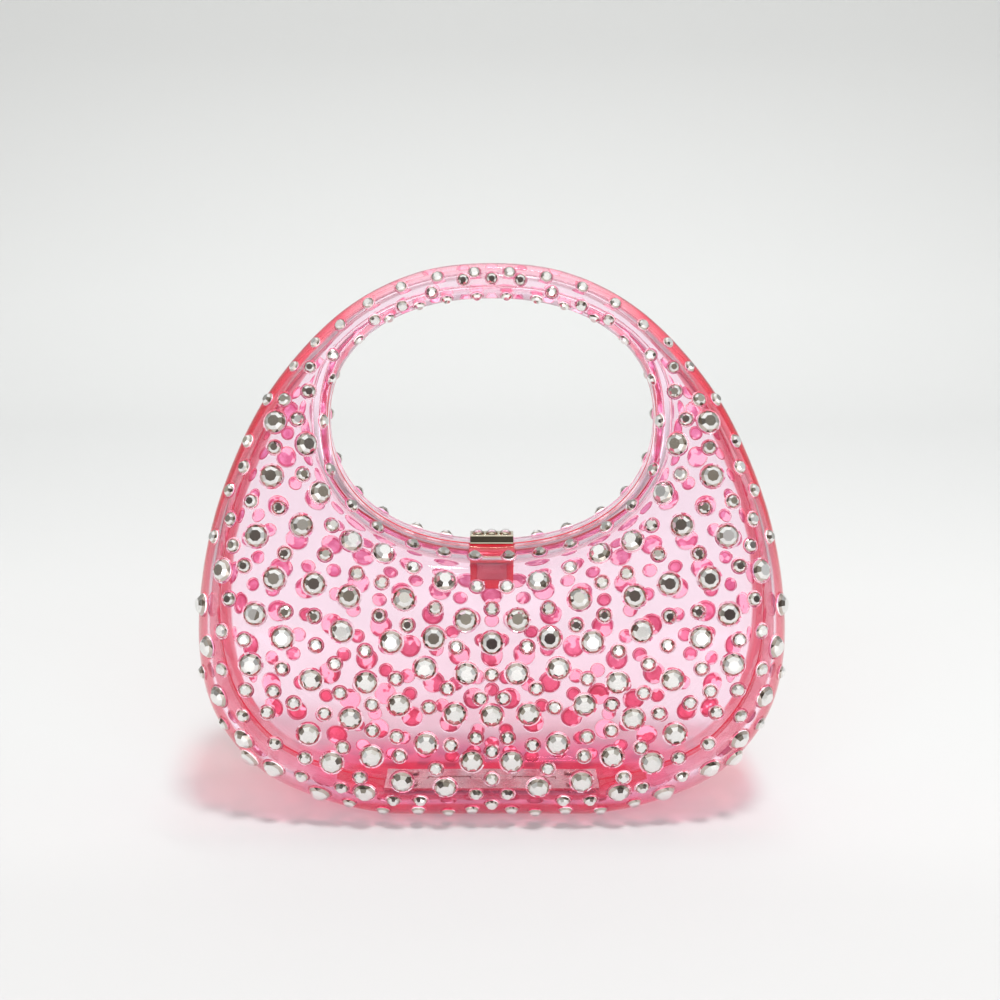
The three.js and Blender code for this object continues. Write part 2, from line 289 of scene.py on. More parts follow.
def half_depth(up):
    """Side view of one half: full at the belly, a slow taper to the handle and a slight one to the base."""
    rise = clamp01((up - BELLY_UP) / (HEIGHT - BELLY_UP))
    above = HANDLE_DEPTH + (BELLY_DEPTH - HANDLE_DEPTH) * 0.5 * (1 + np.cos(np.pi * rise))
    fall = BELLY_DEPTH - (BELLY_DEPTH - BASE_DEPTH) * (1 - up / BELLY_UP) ** 2
    return np.where(up > BELLY_UP, above, fall)


def rounded(flat, share):
    return flat + (1 - flat) * np.sqrt(1 - (1 - clamp01(share)) ** 2)


def roundings(reach):
    return np.minimum(RIM_ROUND, ROUND_SHARE * reach), np.minimum(EDGE_ROUND, ROUND_SHARE * reach)


def outside_depth(angle, below):
    inner = hole_radius(angle)
    reach = outer_radius(angle) - inner
    rim, edge = roundings(reach)
    full = half_depth(HOLE_UP + (inner + below) * np.cos(angle))
    widening = clamp01((reach - HANDLE_REACH) / (BODY_REACH - HANDLE_REACH))
    rim_flat = (HANDLE_FLAT + (RIM_FLAT - HANDLE_FLAT) * widening) / full
    edge_flat = (HANDLE_FLAT + (EDGE_FLAT - HANDLE_FLAT) * widening) / full
    return full * rounded(rim_flat, below / rim) * rounded(edge_flat, (reach - below) / edge)


def place_in_front(angle, below, depth):
    radius = hole_radius(angle) + below
    return np.stack([radius * np.sin(angle), -depth, HOLE_UP + radius * np.cos(angle)], -1)


def outside_point(angle, below):
    return place_in_front(angle, below, outside_depth(angle, below))


def outside_normal(angle, below, turn=0.01, step=0.2):
    round_way = outside_point(angle + turn, below) - outside_point(angle - turn, below)
    across = outside_point(angle, below + step) - outside_point(angle, below - step)
    normal = np.cross(round_way, across)
    return normal / np.linalg.norm(normal)


def below_rim(reach, t):
    """Distance below the rim along a section, in steps that are close together on the two roundings."""
    rim, edge = roundings(reach)
    start = rim * (1 - np.cos(np.pi / 2 * clamp01(t / ROUND_STEPS)))
    end = edge * (1 - np.cos(np.pi / 2 * clamp01((1 - t) / ROUND_STEPS)))
    middle = clamp01((t - ROUND_STEPS) / (1 - 2 * ROUND_STEPS)) * (reach - rim - edge)
    return np.where(t >= 1 - ROUND_STEPS, reach - end, start + middle)


def even_stations():
    """Points evenly spaced round the outline, starting at the top."""
    ring = np.concatenate([OUTLINE_FINE, OUTLINE_FINE[:1]])
    length = np.concatenate([[0], np.cumsum(np.linalg.norm(np.diff(ring, axis=0), axis=1))])
    wanted = np.arange(STATIONS) / STATIONS * length[-1]
    return np.stack([np.interp(wanted, length, ring[:, k]) for k in range(2)], 1)


def half_shell_arrays():
    """Vertices and quads of the front half, before its cuts."""
    edge = even_stations() - (0, HOLE_UP)
    angle = np.arctan2(edge[:, 0], edge[:, 1])[:, None]
    reach = (np.hypot(edge[:, 0], edge[:, 1]) - hole_radius(angle[:, 0]))[:, None]
    wall = np.minimum(WALL, WALL_SHARE * reach)
    t = np.linspace(0, 1, FACE_STEPS + 1)[None, :]

    def outside(t):
        below = below_rim(reach, t)
        return np.stack([below, outside_depth(angle, below)], -1)

    slope = outside(np.minimum(t + SLOPE_STEP, 1)) - outside(np.maximum(t - SLOPE_STEP, 0))
    slope /= np.linalg.norm(slope, axis=-1, keepdims=True)
    face = outside(t)
    lining = face + np.stack([slope[..., 1], -slope[..., 0]], -1) * wall[..., None]

    def flat(below, end, reverse=False):
        """Points of a flat between the parting plane and the start of a rounding."""
        start = GAP / 2 + EDGE_BEVEL
        share = np.linspace(0, 1, FLAT_STEPS, endpoint=False)[None, :]
        if reverse:
            share = share[:, ::-1]
        depth = start + (end - start) * share
        return np.stack([np.broadcast_to(below, depth.shape), depth], -1)

    def parting(below):
        return np.stack([below, np.full_like(below, GAP / 2)], -1)

    rows = [
        flat(np.zeros_like(reach), face[:, :1, 1]),
        face,
        flat(reach, face[:, -1:, 1], reverse=True),
        parting(reach - EDGE_BEVEL),
        parting(reach - wall + EDGE_BEVEL),
        flat(reach - wall, lining[:, -1:, 1]),
        lining[:, ::-1],
        flat(wall, lining[:, :1, 1], reverse=True),
        parting(wall - EDGE_BEVEL),
        parting(np.full_like(reach, EDGE_BEVEL)),
    ]
    section = np.concatenate(rows, 1)
    around = section.shape[1]
    vertices = place_in_front(angle, section[..., 0], section[..., 1]).reshape(-1, 3)
    i, j = np.meshgrid(np.arange(STATIONS), np.arange(around), indexing="ij")
    here, onward = i * around, (i + 1) % STATIONS * around
    k = (j + 1) % around
    quads = np.stack([here + j, onward + j, onward + k, here + k], -1).reshape(-1, 4)
    return vertices, quads


def new_object(name, vertices, faces, materials, indices=None, smooth=False):
    """An object from arrays in millimetres."""
    mesh = bpy.data.meshes.new(name)
    mesh.from_pydata((np.asarray(vertices) * MM).tolist(), [], [list(map(int, f)) for f in faces])
    for material in materials:
        mesh.materials.append(material)
    if indices is not None:
        mesh.polygons.foreach_set("material_index", np.asarray(indices, np.int32))
    mesh.polygons.foreach_set("use_smooth", np.full(len(mesh.polygons), smooth))
    mesh.update()
    made = bpy.data.objects.new(name, mesh)
    bpy.context.scene.collection.objects.link(made)
    return made


def box_arrays(x, y, z):
    vertices = np.array([(a, b, c) for a in x for b in y for c in z], float)
    faces = [(0, 1, 3, 2), (4, 6, 7, 5), (0, 4, 5, 1), (2, 3, 7, 6), (0, 2, 6, 4), (1, 5, 7, 3)]
    return vertices, faces


def prism_arrays(radius, z, sides, centre):
    """An upright round bar."""
    turn = np.arange(sides) * 2 * np.pi / sides
    ring = np.stack([centre[0] + radius * np.cos(turn), centre[1] + radius * np.sin(turn)], 1)
    vertices = np.concatenate([np.c_[ring, np.full(sides, level)] for level in z])
    faces = [(i, (i + 1) % sides, sides + (i + 1) % sides, sides + i) for i in range(sides)]
    return vertices, [tuple(range(sides))[::-1], tuple(range(sides, 2 * sides)), *faces]


def cut_away(target, arrays):
    """Cuts solids given as arrays out of an object."""
    for vertices, faces in arrays:
        cutter = new_object("cutter", vertices, faces, [ACRYLIC])
        modifier = target.modifiers.new("cut", "BOOLEAN")
        modifier.operation = "DIFFERENCE"
        modifier.solver = "MANIFOLD"
        modifier.object = cutter
        bpy.context.view_layer.update()
        graph = bpy.context.evaluated_depsgraph_get()
        shaped = bpy.data.meshes.new_from_object(target.evaluated_get(graph))
        target.modifiers.clear()
        old = target.data
        target.data = shaped
        bpy.data.meshes.remove(old)
        bpy.data.objects.remove(cutter)


def sharpen(target, degrees):
    """Smooth shading, apart from edges that turn by more than so much."""
    shape = bmesh.new()
    shape.from_mesh(target.data)
    for face in shape.faces:
        face.smooth = True
    for edge in shape.edges:
        edge.smooth = edge.calc_face_angle(0.0) < math.radians(degrees)
    shape.to_mesh(target.data)
    shape.free()


def stone_arrays(across, height, sink, bead=0.0):
    """A cut stone on Z, set in glue, and which material each face has."""
    radius = across / 2
    girdle = GIRDLE_SHARE * height
    corners = np.arange(FACETS) * 2 * np.pi / FACETS
    both = np.arange(2 * FACETS) * np.pi / FACETS

    def ring(angles, distance, up):
        return np.stack([distance * np.cos(angles), distance * np.sin(angles), np.full(len(angles), up)], 1)

    rings = [
        ring(corners, TABLE_SHARE * radius, height),
        ring(corners, BREAK_SHARE * radius, BREAK_UP * height),
        ring(both, radius, girdle),
        ring(both, radius, BACK_UP),
        ring(corners, FOIL_SHARE * radius, FOIL_UP * girdle),
        ring(corners, CULET_SHARE * radius, -CULET_DOWN * sink),
        ring(both, BACK_SHARE * radius, -sink),
        ring(both, BACK_MIDDLE * radius, -sink),
    ]
    if bead:
        rings += [
            ring(both, BEAD_SHARE * radius, BEAD_UP),
            ring(both, radius + bead, 0),
            ring(both, radius, -sink),
        ]
    starts = np.cumsum([0] + [len(r) for r in rings])
    table_at, break_at, girdle_at, side_at, foil_at, culet_at, back_at, middle_at, *beads_at = starts
    faces, marks = [tuple(range(table_at, break_at))], [ON_GLASS]
    for k in range(FACETS):
        n = (k + 1) % FACETS
        here, between, onward = girdle_at + 2 * k, girdle_at + 2 * k + 1, girdle_at + 2 * n
        faces += [
            (table_at + k, break_at + k, break_at + n, table_at + n),
            (break_at + k, here, between),
            (break_at + k, between, break_at + n),
            (break_at + n, between, onward),
            (foil_at + k, foil_at + n, culet_at + n, culet_at + k)[::-1],
            (side_at + 2 * k, side_at + 2 * k + 1, side_at + 2 * n, foil_at + n, foil_at + k),
        ]
        marks += [ON_GLASS, ON_GIRDLE, ON_GIRDLE, ON_GIRDLE, ON_FOIL, ON_BACK]

    sides = len(both)

    def band(upper, lower, mark):
        for k in range(sides):
            n = (k + 1) % sides
            faces.append((upper + k, lower + k, lower + n, upper + n))
            marks.append(mark)

    band(girdle_at, side_at, ON_BACK)
    band(side_at, back_at, ON_RIM)
    band(back_at, middle_at, ON_RIM)
    faces += [tuple(range(culet_at, culet_at + FACETS)), tuple(range(middle_at, middle_at + sides))[::-1]]
    marks += [ON_FOIL, ON_BACK]
    if bead:
        over, rim, under = beads_at[:3]
        band(over, rim, ON_BEAD)
        band(rim, under, ON_BEAD)
        band(under, over, ON_BEAD)
    return np.concatenate(rings), faces, marks


def stone_places(courses):
    """(angle in radians, below) of each stone on both sides of the centre line."""
    for below, angles in courses.items():
        for degrees in angles:
            for side in (1, -1) if degrees % 180 else (1,):
                yield math.radians(side * degrees), below


def half_stones():
    """All stones of the front half as one set of arrays."""
    vertices, faces, marks = [], [], []
    count = 0
    for courses, size in ((LARGE_COURSES, LARGE_STONE), (SMALL_COURSES, SMALL_STONE)):
        for index, (angle, below) in enumerate(stone_places(courses)):
            on_handle = abs(math.degrees(angle)) < HANDLE_END
            shape, shape_faces, shape_marks = stone_arrays(**(HANDLE_STONE if on_handle else size))
            normal = outside_normal(angle, below)
            side = np.cross(normal, (0, 0, 1) if abs(normal[2]) < UPRIGHT else (1, 0, 0))
            side /= np.linalg.norm(side)
            lift = np.cross(normal, side)
            turn = index * STONE_TURN
            a = math.cos(turn) * side + math.sin(turn) * lift
            b = np.cross(normal, a)
            vertices.append(outside_point(angle, below) + shape @ np.stack([a, b, normal]))
            faces += [tuple(count + v for v in f) for f in shape_faces]
            marks += shape_marks
            count += len(shape)
    return np.concatenate(vertices), faces, np.array(marks)


# Materials

def new_material(name):
    material = bpy.data.materials.new(name)
    material.use_nodes = True
    tree = material.node_tree
    tree.nodes.clear()
    output = tree.nodes.new("ShaderNodeOutputMaterial")
    shader = tree.nodes.new("ShaderNodeBsdfPrincipled")
    tree.links.new(shader.outputs[0], output.inputs["Surface"])
    return material, tree, shader


def add_noise(tree, scale, detail=4.0):
    place = tree.nodes.new("ShaderNodeTexCoord")
    noise = tree.nodes.new("ShaderNodeTexNoise")
    noise.inputs["Scale"].default_value = scale
    noise.inputs["Detail"].default_value = detail
    tree.links.new(place.outputs["Object"], noise.inputs["Vector"])
    return noise.outputs["Fac"]


def ranged(tree, source, low, high, start=0.0, end=1.0):
    spread = tree.nodes.new("ShaderNodeMapRange")
    spread.inputs["From Min"].default_value = start
    spread.inputs["From Max"].default_value = end
    spread.inputs["To Min"].default_value = low
    spread.inputs["To Max"].default_value = high
    tree.links.new(source, spread.inputs["Value"])
    return spread.outputs[0]


def ramped(tree, source, stops):
    """A colour ramp from (position, colour) stops."""
    ramp = tree.nodes.new("ShaderNodeValToRGB")
    elements = ramp.color_ramp.elements
    while len(elements) < len(stops):
        elements.new(0.5)
    for element, (position, colour) in zip(elements, stops):
        element.position = position
        element.color = (*colour, 1)
    tree.links.new(source, ramp.inputs["Fac"])
    return ramp.outputs[0]


def add_axis(tree, axis):
    place = tree.nodes.new("ShaderNodeTexCoord")
    axes = tree.nodes.new("ShaderNodeSeparateXYZ")
    tree.links.new(place.outputs["Object"], axes.inputs[0])
    return axes.outputs[axis]


def combined(tree, operation, first, *others):
    for other in others:
        step = tree.nodes.new("ShaderNodeMath")
        step.operation = operation
        tree.links.new(first, step.inputs[0])
        tree.links.new(other, step.inputs[1])
        first = step.outputs[0]
    return first


def within(tree, limits):
    """1 inside a box given as {axis: (low, high)} in millimetres, 0 outside."""
    shares = []
    for axis, (low, high) in limits.items():
        near = tree.nodes.new("ShaderNodeMath")
        near.operation = "COMPARE"
        near.inputs[1].default_value = (low + high) / 2 * MM
        near.inputs[2].default_value = (high - low) / 2 * MM
        tree.links.new(add_axis(tree, axis), near.inputs[0])
        shares.append(near.outputs[0])
    return combined(tree, "MULTIPLY", *shares)


def from_hole(tree):
    """Distance from the middle of the hand hole, 1 at its rim."""
    place = tree.nodes.new("ShaderNodeTexCoord")
    scaled = tree.nodes.new("ShaderNodeMapping")
    scaled.inputs["Location"].default_value = (0, 0, -HOLE_UP / HOLE_HALF_HEIGHT)
    scaled.inputs["Scale"].default_value = (1 / (HOLE_HALF_WIDTH * MM), 0, 1 / (HOLE_HALF_HEIGHT * MM))
    tree.links.new(place.outputs["Object"], scaled.inputs["Vector"])
    distance = tree.nodes.new("ShaderNodeVectorMath")
    distance.operation = "LENGTH"
    tree.links.new(scaled.outputs[0], distance.inputs[0])
    return distance.outputs["Value"]


def mixed_colour(tree, share, first, second):
    """A blend of two colours, each a socket or a fixed colour."""
    blend = tree.nodes.new("ShaderNodeMix")
    blend.data_type = "RGBA"
    tree.links.new(share, blend.inputs[0])
    for socket, colour in zip([s for s in blend.inputs if s.type == "RGBA"], (first, second)):
        if isinstance(colour, tuple):
            socket.default_value = (*colour, 1)
        else:
            tree.links.new(colour, socket)
    return next(s for s in blend.outputs if s.type == "RGBA")


# Painted light in the acrylic: red for a painted glow on its edges and its bottom, deeper pink low down for
# painted shade, and near black up high where it is seen edge-on, for painted shade. Heights in metres between
# which it fades or sets in, and what it falls or rises to.
GLOW_FADE, GLOW_LEFT = (0.135, 0.172), 0.14
TINGE_FADE, TINGE_LEFT = (0.163, 0.177), 0.3
FLOOR_RISE, FLOOR_TINGE = (0.012, 0.03), 0.35
LEAN_RISE, LEAN_MORE = (0.085, 0.135), 0.3
OUTLINE_RISE, OUTLINE_MOST = (0.12, 0.14), 0.9
BASE_HEIGHT = 0.04

# Slants from 0 (face on) to 1 (edge on), and distances from the hole (1 at its rim), over which it sets in.
TINGE_SLANT = (0.47, 0.54)
OUTLINE_SLANT = (0.6, 0.82)
OUTER_PARTING = (1.13, 1.15)
OUTER_WALL = (1.13, 1.25)
TINGE_DEPTH = 0.25


def acrylic_material():
    """Clear pink plastic with painted light: parting faces painted red as a painted glow, side walls painted
    deeper red where seen edge-on as a painted edge glow, edge-on faces up high painted dark as painted shade,
    the base painted deep pink for the shadow seen through it, and a faint emission as a painted glow.
    """
    material, tree, shader = new_material("acrylic_pink")
    height = add_axis(tree, "Z")
    outward = from_hole(tree)
    groove_half = GROOVE_SIDE / math.sqrt(2)
    slot_half = CLASP_WIDTH / 2 + 2 * GAP
    # Parting faces, their bevels, the hinge groove and the clasp slot are painted dark red with little
    # transmission: a painted glow, which fades up the handle.
    parting = within(tree, {"Y": (-GAP, GAP)})
    front_edges = within(tree, {"Y": (-GLOW_DEPTH, -GAP)})
    back_edges = within(tree, {"Y": (GAP, GLOW_DEPTH)})
    groove = within(tree, {"Y": (-groove_half, groove_half), "Z": (-GAP, HINGE_AXIS_UP)})
    slot = within(tree, {
        "X": (-slot_half, slot_half),
        "Y": (SLOT_FRONT - GAP / 2, 0),
        "Z": (SLOT_UP - GAP / 2, HEIGHT),
    })
    outer_parting = combined(tree, "MULTIPLY", parting, ranged(tree, outward, 0.0, 1.0, *OUTER_PARTING))
    painted_glow_faces = combined(tree, "MAXIMUM", outer_parting, front_edges, back_edges, groove, slot)
    below_handle = ranged(tree, height, 1.0, GLOW_LEFT, *GLOW_FADE)
    glow = combined(tree, "MULTIPLY", painted_glow_faces, below_handle)

    # Where a side wall is seen edge-on it is painted deeper red: a painted edge glow, stronger higher up and
    # weaker at the top of the handle and near the floor.
    slant = tree.nodes.new("ShaderNodeLayerWeight")
    slant.inputs["Blend"].default_value = 0.5
    facing = slant.outputs["Facing"]
    leaning = combined(tree, "ADD", facing, ranged(tree, height, 0.0, LEAN_MORE, *LEAN_RISE))
    slanting = ranged(tree, leaning, 0.0, 1.0, *TINGE_SLANT)
    outer_wall = ranged(tree, outward, 0.0, 1.0, *OUTER_WALL)
    below_top = ranged(tree, height, 1.0, TINGE_LEFT, *TINGE_FADE)
    over_floor = ranged(tree, height, FLOOR_TINGE, 1.0, *FLOOR_RISE)
    tinge = combined(tree, "MULTIPLY", slanting, outer_wall, below_top, over_floor)
    red = combined(tree, "MAXIMUM", glow, ranged(tree, tinge, 0.0, TINGE_DEPTH))

    # Towards the floor the acrylic is painted deep pink for the pink shadow under the bag seen through its
    # floor, a painted shade, and red along the very bottom as a painted glow.
    painted_base_red = ramped(tree, ranged(tree, height, 0.0, 1.0, 0.0, BASE_HEIGHT), [
        (0.0, (0.80, 0.02, 0.04)),
        (0.08, (0.82, 0.02, 0.04)),
        (0.1, (1.0, 0.30, 0.46)),
        (0.2, (1.0, 0.40, 0.60)),
        (0.32, (1.0, 0.97, 0.985)),
    ])
    painted_edge_glow_red = ramped(tree, facing, [(0.4, (0.84, 0.20, 0.25)), (0.7, (0.60, 0.055, 0.07))])
    # Higher up, where the acrylic is seen edge-on, it is painted near black: painted shade along its edges.
    edge_on = ranged(tree, facing, 0.0, OUTLINE_MOST, *OUTLINE_SLANT)
    painted_edge_shade = combined(tree, "MULTIPLY", edge_on, ranged(tree, height, 0.0, 1.0, *OUTLINE_RISE))
    with_painted_edge_glow = mixed_colour(tree, tinge, painted_base_red, painted_edge_glow_red)
    with_painted_edge_shade = mixed_colour(tree, painted_edge_shade, with_painted_edge_glow, (0.10, 0.012, 0.03))
    tree.links.new(mixed_colour(tree, red, with_painted_edge_shade, (0.45, 0.014, 0.024)), shader.inputs["Base Color"])
    tree.links.new(ranged(tree, red, 1.0, 0.15), shader.inputs["Transmission Weight"])
    tree.links.new(ranged(tree, add_noise(tree, 60), 0.0, 0.02), shader.inputs["Roughness"])
    shader.inputs["IOR"].default_value = 1.49
    shader.inputs["Specular Tint"].default_value = (0.6, 0.3, 0.4, 1)
    # A faint pink emission: a painted glow.
    shader.inputs["Emission Color"].default_value = (1.0, 0.22, 0.42, 1)
    shader.inputs["Emission Strength"].default_value = 0.025
    material.cycles.emission_sampling = "NONE"
    output = tree.nodes["Material Output"]
    path = tree.nodes.new("ShaderNodeLightPath")
    surface = shader.outputs[0]
    for ray, colour in (("Is Diffuse Ray", (1.0, 0.975, 0.98)), ("Is Shadow Ray", (1.0, 0.62, 0.66))):
        clear = tree.nodes.new("ShaderNodeBsdfTransparent")
        clear.inputs["Color"].default_value = (*colour, 1)
        mix = tree.nodes.new("ShaderNodeMixShader")
        tree.links.new(path.outputs[ray], mix.inputs[0])
        tree.links.new(surface, mix.inputs[1])
        tree.links.new(clear.outputs[0], mix.inputs[2])
        surface = mix.outputs[0]
    tree.links.new(surface, output.inputs["Surface"])
    volume = tree.nodes.new("ShaderNodeVolumeAbsorption")
    volume.inputs["Color"].default_value = (0.84, 0.0, 0.70, 1)
    volume.inputs["Density"].default_value = 14.0
    tree.links.new(volume.outputs[0], output.inputs["Volume"])
    return material


# Noise cells to a metre: fine polish, tones of one stone's back, its bare patches, one back to the next.
POLISH_NOISE = 900
TONE_NOISE = 300
BARE_NOISE = 170
BACKS_NOISE = 75

# Backs of the stones: heights in metres from deep to light ones, the lower ones darker as painted shade, how
# much they stray, and bare patches.
BACK_PAINTED_SHADE = (0.025, 0.08)
BACK_STRAY = 0.7
BARE_START, BARE_FULL = 0.51, 0.54
BARE_COLOUR = (1.0, 0.97, 0.99)


def glass_material(name, colour, ior, roughest, silver):
    """Clear glass with a thin silver coat."""
    material, tree, shader = new_material(name)
    shader.inputs["Base Color"].default_value = (*colour, 1)
    shader.inputs["Metallic"].default_value = silver
    shader.inputs["IOR"].default_value = ior
    shader.inputs["Transmission Weight"].default_value = 1.0
    tree.links.new(ranged(tree, add_noise(tree, POLISH_NOISE), 0.0, roughest), shader.inputs["Roughness"])
    return material


def metal_material(name, colour, low, high, scale=400):
    """Metal with slightly uneven colour, its roughness between two values."""
    material, tree, shader = new_material(name)
    shader.inputs["Metallic"].default_value = 1.0
    darker = tuple(0.8 * c for c in colour)
    shade = ramped(tree, add_noise(tree, scale / 4), [(0.3, darker), (0.6, colour)])
    tree.links.new(shade, shader.inputs["Base Color"])
    tree.links.new(ranged(tree, add_noise(tree, scale, 6.0), low, high), shader.inputs["Roughness"])
    return material


def matt_material(name, dark, light, roughness, scale):
    """Opaque colour between a dark and a light tone."""
    material, tree, shader = new_material(name)
    shade = ramped(tree, add_noise(tree, scale), [(0.35, dark), (0.65, light)])
    tree.links.new(shade, shader.inputs["Base Color"])
    rough = ranged(tree, add_noise(tree, 4 * scale), 0.8 * roughness, 1.2 * roughness)
    tree.links.new(rough, shader.inputs["Roughness"])
    return material


def back_material(name, upper, lower):
    """Backs of the stones, painted pink for the pink light they get through the acrylic, with bare patches.
    The upper and the lower ones have two tones each, the lower ones darker as painted shade, and a faint
    emission is a painted glow.
    """
    material, tree, shader = new_material(name)
    tones = []
    for dark, light in (lower, upper):
        tones.append(ramped(tree, add_noise(tree, TONE_NOISE), [(0.38, dark), (0.62, light)]))
    lift = ranged(tree, add_axis(tree, "Z"), 0.0, 1.0, *BACK_PAINTED_SHADE)
    stray = ranged(tree, add_noise(tree, BACKS_NOISE), -BACK_STRAY, BACK_STRAY)
    painted_pink_and_shade = mixed_colour(tree, combined(tree, "ADD", lift, stray), *tones)
    bare = ranged(tree, add_noise(tree, BARE_NOISE, 2.0), 0.0, 1.0, BARE_START, BARE_FULL)
    tree.links.new(mixed_colour(tree, bare, painted_pink_and_shade, BARE_COLOUR), shader.inputs["Base Color"])
    tree.links.new(ranged(tree, add_noise(tree, POLISH_NOISE), 0.4, 0.6), shader.inputs["Roughness"])
    # A faint pink emission on the backs: a painted glow.
    shader.inputs["Emission Color"].default_value = (1.0, 0.16, 0.38, 1)
    shader.inputs["Emission Strength"].default_value = 0.03
    material.cycles.emission_sampling = "NONE"
    return material


ACRYLIC = acrylic_material()
CRYSTAL = glass_material("stone_crystal", (0.98, 0.975, 0.95), 1.56, 0.008, 0.88)
# The outer crown facets of each stone are a darker, olive copy of the crystal: a painted reflection.
GIRDLE = glass_material("stone_girdle_painted_reflection", (0.64, 0.55, 0.49), 1.56, 0.02, 0.88)
FOIL = metal_material("stone_foil", (0.93, 0.93, 0.89), 0.0, 0.08, 700)
# Backs of the stones: their pink is painted light, and their darker lower tones are painted shade.
BACK = back_material(
    "stone_back",
    ((0.56, 0.25, 0.42), (0.72, 0.54, 0.72)),
    ((0.45, 0.07, 0.12), (0.61, 0.15, 0.24)),
)
# The sides of each back are a darker copy of the backs: painted shade round their rims.
SHADED_BACK_RIM = back_material(
    "stone_back_rim_shaded",
    ((0.48, 0.11, 0.23), (0.58, 0.22, 0.36)),
    ((0.30, 0.02, 0.04), (0.40, 0.04, 0.08)),
)
CLASP_METAL = metal_material("clasp_plate", (0.72, 0.65, 0.50), 0.04, 0.14)
CLASP_RED = matt_material("clasp_red", (0.30, 0.003, 0.006), (0.44, 0.007, 0.011), 0.3, 200)
CLASP_ROSE = metal_material("clasp_rose", (0.60, 0.15, 0.16), 0.25, 0.4)
HINGE_METAL = metal_material("hinge_satin", (0.76, 0.66, 0.60), 0.18, 0.34)
STONE_MATERIALS = [CRYSTAL, FOIL, BACK, ACRYLIC, SHADED_BACK_RIM, GIRDLE]


# Shell halves

def hinge_cuts():
    """What the hinge takes out of the floor of the front half: a groove, a notch and three rivet holes."""
    half = GROOVE_SIDE / math.sqrt(2)
    length = BODY_REACH + HINGE_LENGTH / 2
    corners = [(half * y, HINGE_AXIS_UP - half * down) for y, down in ((0, 0), (1, 1), (0, 2), (-1, 1))]
    groove = np.array([(x, y, z) for x in (-length, length) for y, z in corners])
    groove_faces = [(0, 1, 2, 3), (7, 6, 5, 4)]
    groove_faces += [(k, k + 4, (k + 1) % 4 + 4, (k + 1) % 4) for k in range(4)]
    notch_half = HINGE_LENGTH / 2 + 2 * GAP
    notch = box_arrays(
        (-notch_half, notch_half),
        (-NOTCH_HALF_WIDTH, NOTCH_HALF_WIDTH),
        (-WALL, HINGE_AXIS_UP + KNUCKLE_RADIUS + 2 * GAP),
    )
    holes = []
    for x in RIVET_PLACES:
        holes.append(prism_arrays(RIVET_HOLE_RADIUS, (-WALL, 3 * WALL), RIVET_HOLE_SIDES, (x, -RIVET_OUT)))
    return [(groove, groove_faces), notch, *holes]


def join(objects):
    first = objects[0]
    with bpy.context.temp_override(active_object=first, selected_editable_objects=objects):
        bpy.ops.object.join()
    return first


def turn_half(piece):
    """Turns a piece of the front half into the same piece of the back half."""
    places = np.empty(len(piece.data.vertices) * 3)
    piece.data.vertices.foreach_get("co", places)
    piece.data.vertices.foreach_set("co", (places.reshape(-1, 3) * (-1, -1, 1)).ravel())
    piece.data.update()


def make_half(name, cuts):
    shell = new_object(name, *half_shell_arrays(), [ACRYLIC])
    cut_away(shell, cuts)
    sharpen(shell, SMOOTH_TO)
    stone_vertices, stone_faces, marks = half_stones()
    return join([shell, new_object(name + "_stones", stone_vertices, stone_faces, STONE_MATERIALS, marks)])


def settle(piece, body, slot, *nodes):
    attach(piece, body)
    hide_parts(*nodes)


slot_half = CLASP_WIDTH / 2 + GAP
clasp_slot = box_arrays((-slot_half, slot_half), (SLOT_FRONT, GAP), (SLOT_UP, RIM_UP + WALL))
settle(make_half("front_half_clear", [*hinge_cuts(), clasp_slot]), "front_half", "acrylic", "front_shell")
back_half = make_half("back_half_clear", hinge_cuts())
turn_half(back_half)
settle(back_half, "back_half", "acrylic", "back_shell")


# Clasp and hinge

def soft_solid(name, vertices, faces, material, bevel):
    """A solid with its edges rounded over."""
    made = new_object(name, vertices, faces, [material])
    shape = bmesh.new()
    shape.from_mesh(made.data)
    bmesh.ops.recalc_face_normals(shape, faces=shape.faces)
    sharp = [e for e in shape.edges if e.calc_face_angle(0.0) > math.radians(BEVEL_OVER)]
    bmesh.ops.bevel(shape, geom=sharp, offset=bevel * MM, segments=BEVEL_STEPS, profile=0.5, affect="EDGES")
    shape.to_mesh(made.data)
    shape.free()
    return made


def along_x(profile, half_length):
    """A bar of (y, z) section along X."""
    n = len(profile)
    vertices = [(x, y, z) for x in (-half_length, half_length) for y, z in profile]
    faces = [tuple(range(n))[::-1], tuple(range(n, 2 * n))]
    faces += [(k, (k + 1) % n, n + (k + 1) % n, n + k) for k in range(n)]
    return np.array(vertices, float), faces


def rectangle(y, z):
    return [(y[0], z[0]), (y[1], z[0]), (y[1], z[1]), (y[0], z[1])]


